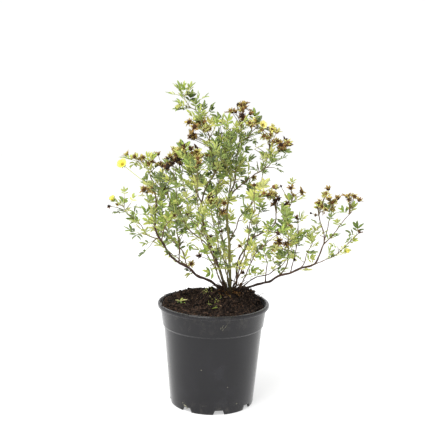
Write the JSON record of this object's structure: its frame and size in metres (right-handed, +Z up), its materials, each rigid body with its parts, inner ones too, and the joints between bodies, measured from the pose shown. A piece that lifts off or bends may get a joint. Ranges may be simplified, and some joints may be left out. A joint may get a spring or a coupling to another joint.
{
  "type": "potted shrubby cinquefoil",
  "caption": "Twiggy shrubby cinquefoil with small leaflets, dried brown flower heads and a few yellow flowers, growing in a black plastic nursery pot",
  "frame": {"origin": "on the floor, in the middle of the pot's base", "axes": "+Z up along the pot's axis, +X to the right and +Y away from the front of the plant"},
  "size_m": [0.3692, 0.2648, 0.4832],
  "materials": {
    "nursery_pot_plastic": "moulded polypropylene with a soft sheen, scuffed",
    "peat_soil": "damp, crumbly and fibrous",
    "bark": "thin shredding bark, matt",
    "leaf": "softly hairy leaf, matt",
    "dried_head": "dry and papery",
    "petal": "thin petal with a soft sheen"
  },
  "bodies": {
    "root": {"pot": "nursery_pot_plastic", "crown": "bark", "soil": "peat_soil", "low_left_stem": "bark", "centre_left_stem": "bark", "upright_stem": "bark", "right_stem": "bark", "low_right_stem": "bark", "front_left_stem": "bark", "front_low_left_stem": "bark", "front_stem": "bark", "front_right_stem": "bark", "front_low_right_stem": "bark", "back_left_stem": "bark", "back_stem": "bark", "back_right_stem": "bark", "back_low_left_stem": "bark", "back_low_right_stem": "bark", "back_far_stem": "bark", "left_spire": "leaf", "left_outer_shoot": "leaf", "left_inner_shoot": "leaf", "left_mid_shoot": "leaf", "left_back_shoot": "leaf", "centre_left_fork": "leaf", "tall_left_stem": "leaf", "top_left_tip": "leaf", "centre_side_branch": "leaf", "ladder_shoot": "leaf", "upright_left_fork": "leaf", "upright_right_fork": "leaf", "top_right_spray": "leaf", "thin_right_stem": "leaf", "right_front_shoot": "leaf", "right_mid_shoot": "leaf", "right_low_twig": "leaf", "right_back_shoot": "leaf", "right_inner_shoot": "leaf", "right_up_stem": "leaf", "right_fork": "leaf", "right_far_shoot": "leaf", "right_low_shoot": "leaf", "left_spire_heads": "dried_head", "left_mid_shoot_heads": "dried_head", "centre_side_branch_heads": "dried_head", "centre_left_fork_heads": "dried_head", "tall_left_stem_heads": "dried_head", "upright_right_fork_heads": "dried_head", "top_right_spray_heads": "dried_head", "ladder_shoot_heads": "dried_head", "thin_right_stem_heads": "dried_head", "right_stem_heads": "dried_head", "right_mid_shoot_heads": "dried_head", "right_fork_heads": "dried_head", "right_far_shoot_heads": "dried_head", "left_flower": "petal", "far_left_flower": "petal", "top_flower": "petal", "right_flower": "petal"}
  },
  "joints": []
}
